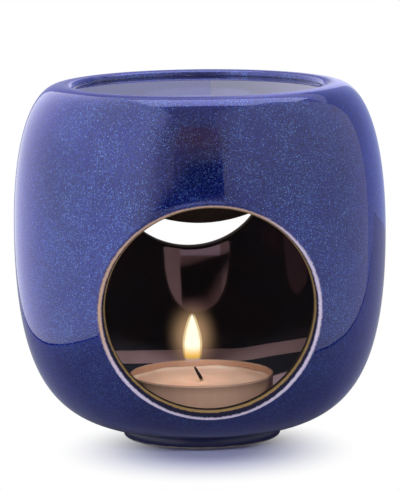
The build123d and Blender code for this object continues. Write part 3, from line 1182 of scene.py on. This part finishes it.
def buildFloorLook():
    material, tree = emptyMaterial("paleFloor")
    look = floorLook
    seen = addNode(tree, "LightPath").outputs["Is Camera Ray"]
    matte = addNode(tree, "BsdfDiffuse", {"Color": mixColours(tree, seen, look["tone"], look["seenTone"])})
    away = ovalDistance(tree, objectPlace(tree), look["shadeMiddle"], look["shadeSpan"])
    whitened = multiply(tree, fadeBetween(tree, away, *look["shadeFade"]), seen)
    bright = addNode(tree, "Emission", {"Color": white, "Strength": 1.0})
    endMaterial(tree, mixShaders(tree, whitened, matte, bright))
    return material


def buildPlateLook():
    material, tree, surface = newMaterial("plateCard")
    setSockets(tree, surface, {"Base Color": plateLook["tone"], "Roughness": plateLook["roughness"],
                               "Specular IOR Level": plateLook["specular"]})
    return material


def addSeam(name, start, end, material):
    a, b = Vector((*start, plateLook["seamHeight"])), Vector((*end, plateLook["seamHeight"]))
    aside = (b - a).normalized().cross(up) * plateLook["seamHalf"]
    addCard(name, [a - aside, b - aside, b + aside, a + aside], material)


floor = levelCard("floor", (-reach, reach), (-reach, reach), floorLook["height"], buildFloorLook(),
                  glossyOnly=False, seenByCamera=True)
floor.visible_glossy = False
left, front, back = (plateLook[side] for side in ("left", "front", "back"))
rightSide = plateLook["rightSide"]
plateOutline = [(left, front), (rightSide[0][0], front), *rightSide, (left, back)]
addCard("plate", [(x, y, plateLook["height"]) for x, y in plateOutline], buildPlateLook())
seamMaterial = glowMaterial("blackCard", (0, 0, 0, 1), 0.0)[0]
addSeam("leftSeam", (left, front), (left, back), seamMaterial)
addSeam("rightSeam", rightSide[0], rightSide[1], seamMaterial)


# Small spots from the front, through the doorway onto the tealight
fills = {
    "headingsAndEnergies": ((-20, 10.5), (-3.5, 3.0), (17, 17.0)), "distance": 0.8, "height": 0.48,
    "cone": radians(4.8), "blend": 0.3, "softSize": 0.03, "aim": Vector((0, 0, 18 * mm)),
}
for azimuth, energy in fills["headingsAndEnergies"]:
    fill = bpy.data.lights.new("frontFill", "SPOT")
    fill.energy = energy
    fill.spot_size = fills["cone"]
    fill.spot_blend = fills["blend"]
    fill.shadow_soft_size = fills["softSize"]
    fillLight = bpy.data.objects.new("frontFill", fill)
    fillLight.location = heading(azimuth) * fills["distance"] + up * fills["height"]
    fillLight.rotation_mode = "QUATERNION"
    fillLight.rotation_quaternion = (fills["aim"] - fillLight.location).to_track_quat("-Z", "Y")
    fillLight.visible_glossy = False
    scene.collection.objects.link(fillLight)


# Room: white to the camera and in reflections, and a soft light on everything
roomLook = {"ambient": (0.86, 0.90, 1.0, 1), "strength": 0.35, "glossyWhite": (0.86, 0.88, 1.0, 1)}
world = bpy.data.worlds.new("paleRoom")
scene.world = world
world.use_nodes = True
tree = world.node_tree
tree.nodes.clear()
path = addNode(tree, "LightPath").outputs
mirrored = addMath(tree, "MAXIMUM", path["Is Glossy Ray"], path["Is Transmission Ray"])
seen = addMath(tree, "MAXIMUM", path["Is Camera Ray"], mirrored)
ambient = addNode(tree, "Background", {"Color": roomLook["ambient"], "Strength": roomLook["strength"]})
whiteColour = mixColours(tree, path["Is Camera Ray"], roomLook["glossyWhite"], white)
bright = addNode(tree, "Background", {"Color": whiteColour, "Strength": 1.0})
addNode(tree, "OutputWorld", {0: mixShaders(tree, seen, ambient, bright).outputs[0]})
print("studio ready")


# Camera at the photograph's viewing angle
viewpoint = {
    "azimuth": -3.5, "distance": 0.843, "height": 0.1776, "pitch": 8.6, "roll": 0.65,
    "focalPixels": 3262, "frameHeight": 490, "sensor": 36.0, "clip": (0.05, 20),
}
lens = bpy.data.cameras.new("camera")
lens.sensor_fit = "AUTO"
lens.sensor_width = viewpoint["sensor"]
lens.lens = viewpoint["focalPixels"] * viewpoint["sensor"] / viewpoint["frameHeight"]
lens.clip_start, lens.clip_end = viewpoint["clip"]
camera = bpy.data.objects.new("camera", lens)
camera.location = heading(viewpoint["azimuth"]) * viewpoint["distance"] + up * viewpoint["height"]
turn = Matrix.Rotation(radians(viewpoint["azimuth"]), 4, "Z")
tilt = Matrix.Rotation(radians(90 - viewpoint["pitch"]), 4, "X")
roll = Matrix.Rotation(radians(-viewpoint["roll"]), 4, "Z")
camera.matrix_world = Matrix.Translation(camera.location) @ turn @ tilt @ roll
scene.collection.objects.link(camera)
scene.camera = camera

scene.view_settings.view_transform = "Standard"
